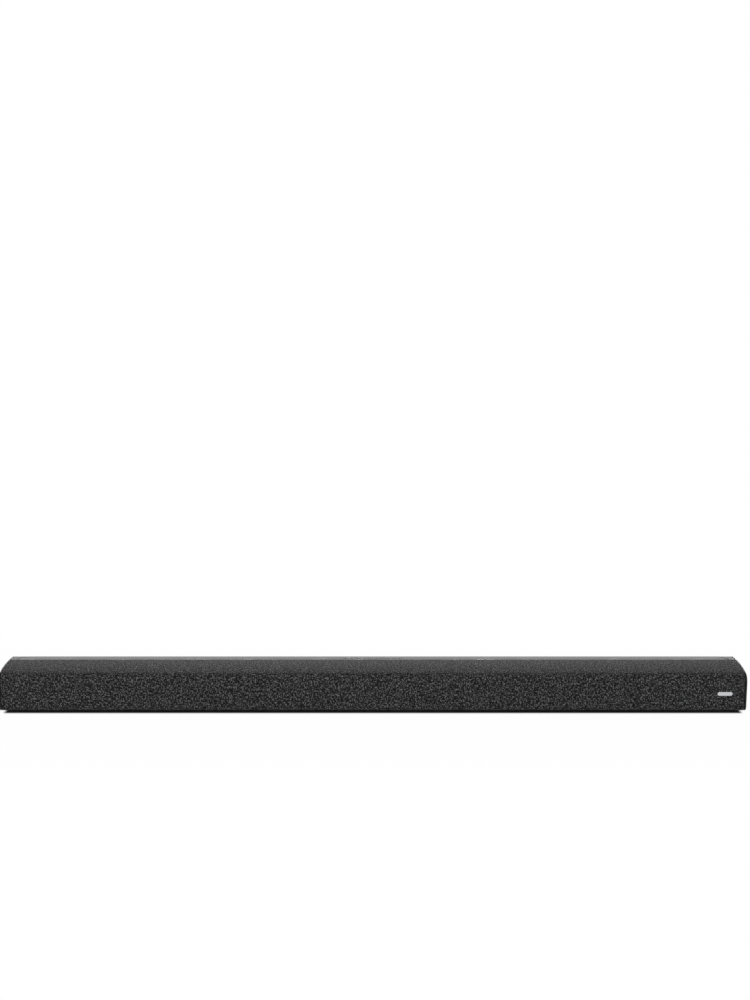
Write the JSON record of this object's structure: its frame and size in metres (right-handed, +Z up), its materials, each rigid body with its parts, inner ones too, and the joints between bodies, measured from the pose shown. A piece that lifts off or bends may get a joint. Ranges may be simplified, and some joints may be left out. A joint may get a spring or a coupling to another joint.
{
  "type": "soundbar",
  "caption": "Slim cloth-fronted soundbar with a gloss control strip of push keys along the rear of its crowned top, end caps, rear socket tray and wall keyholes.",
  "frame": {"origin": "on the floor under the middle of the bar", "axes": "+X along the bar to the viewer's right, -Y out of the cloth front, +Z up"},
  "size_m": [0.9, 0.082, 0.052],
  "materials": {
    "cloth": "dark grey heather acoustic cloth, stretched",
    "strip": "polished black",
    "casing": "fine-textured black moulding, polished top rim",
    "cap": "satin black moulding",
    "key": "polished black with pale printed signs",
    "foot": "matt black rubber",
    "badge": "satin brushed, bare",
    "inner": "black moulding inside the bar",
    "board": "green circuit board",
    "chip": "black moulded package",
    "can": "bare aluminium",
    "steel": "zinc-plated steel",
    "ferrite": "dark sintered ferrite",
    "cone": "black pressed paper",
    "copper": "copper wire on a former",
    "roll": "soft black rubber",
    "weave": "resin-stiffened cloth",
    "dome": "coated silk",
    "clear": "clear moulded light pipe",
    "socket": "black socket moulding",
    "shell": "plated steel shell",
    "wire": "insulated wire",
    "screw": "black-coated steel"
  },
  "bodies": {
    "cabinet": {"housing_roof": "casing", "end_walls": "casing", "keyhole_plates": "casing", "base_plate": "casing", "rear_panels": "casing", "chamber_walls": "inner", "woofer_baskets": "inner", "woofer_yokes": "steel", "woofer_magnets": "ferrite", "tweeter_frames": "inner", "tweeter_motors": "steel", "front_baffle": "inner", "grille_frame": "inner", "grille_cloth": "cloth", "top_panel": "strip", "front_badge": "badge", "rubber_feet": "foot", "input_panel": "casing", "switch_bodies": "chip", "button_board": "board", "indicator_board": "board", "light_pipe": "clear", "main_board": "board", "power_board": "board", "heat_sink": "can", "board_chips": "chip", "capacitors": "can", "transformer": "ferrite", "wireless_module": "can", "mains_inlet": "socket", "usb_socket": "shell", "hdmi_socket": "shell", "optical_socket": "socket", "aux_jack": "socket", "wiring": "wire", "button_ribbon": "wire", "driver_screws": "screw", "case_screws": "screw", "end_cap_left": "cap", "surround_left": "roll", "spider_left": "weave", "end_cap_right": "cap", "surround_right": "roll", "spider_right": "weave"},
    "power_key": {"power_button": "key", "power_plunger": "chip"},
    "source_key": {"source_button": "key", "source_plunger": "chip"},
    "pairing_key": {"pairing_button": "key", "pairing_plunger": "chip"},
    "volume_down_key": {"volume_down_button": "key", "volume_down_plunger": "chip"},
    "volume_up_key": {"volume_up_button": "key", "volume_up_plunger": "chip"},
    "woofer_left": {"woofer_cone_left": "cone", "voice_coil_left": "copper"},
    "tweeter_left": {"tweeter_dome_left": "dome"},
    "woofer_right": {"woofer_cone_right": "cone", "voice_coil_right": "copper"},
    "tweeter_right": {"tweeter_dome_right": "dome"}
  },
  "joints": [
    {"name": "power_press", "type": "slide", "parent": "cabinet", "child": "power_key", "axis": [0, 0, -1], "range_m": [0, 0.0005], "stiffness_N_per_m": 2000, "springref_m": -0.0003},
    {"name": "source_press", "type": "slide", "parent": "cabinet", "child": "source_key", "axis": [0, 0, -1], "range_m": [0, 0.0005], "stiffness_N_per_m": 2000, "springref_m": -0.0003},
    {"name": "pairing_press", "type": "slide", "parent": "cabinet", "child": "pairing_key", "axis": [0, 0, -1], "range_m": [0, 0.0005], "stiffness_N_per_m": 2000, "springref_m": -0.0003},
    {"name": "volume_down_press", "type": "slide", "parent": "cabinet", "child": "volume_down_key", "axis": [0, 0, -1], "range_m": [0, 0.0005], "stiffness_N_per_m": 2000, "springref_m": -0.0003},
    {"name": "volume_up_press", "type": "slide", "parent": "cabinet", "child": "volume_up_key", "axis": [0, 0, -1], "range_m": [0, 0.0005], "stiffness_N_per_m": 2000, "springref_m": -0.0003},
    {"name": "woofer_travel_left", "type": "slide", "parent": "cabinet", "child": "woofer_left", "axis": [0, -1, 0], "range_m": [-0.0015, 0.0015], "stiffness_N_per_m": 1500, "deforming": ["surround_left", "spider_left"]},
    {"name": "woofer_travel_right", "type": "slide", "parent": "cabinet", "child": "woofer_right", "axis": [0, -1, 0], "range_m": [-0.0015, 0.0015], "stiffness_N_per_m": 1500, "deforming": ["surround_right", "spider_right"]},
    {"name": "tweeter_travel_left", "type": "slide", "parent": "cabinet", "child": "tweeter_left", "axis": [0, -1, 0], "range_m": [-0.0002, 0.0002], "stiffness_N_per_m": 2000},
    {"name": "tweeter_travel_right", "type": "slide", "parent": "cabinet", "child": "tweeter_right", "axis": [0, -1, 0], "range_m": [-0.0002, 0.0002], "stiffness_N_per_m": 2000}
  ]
}
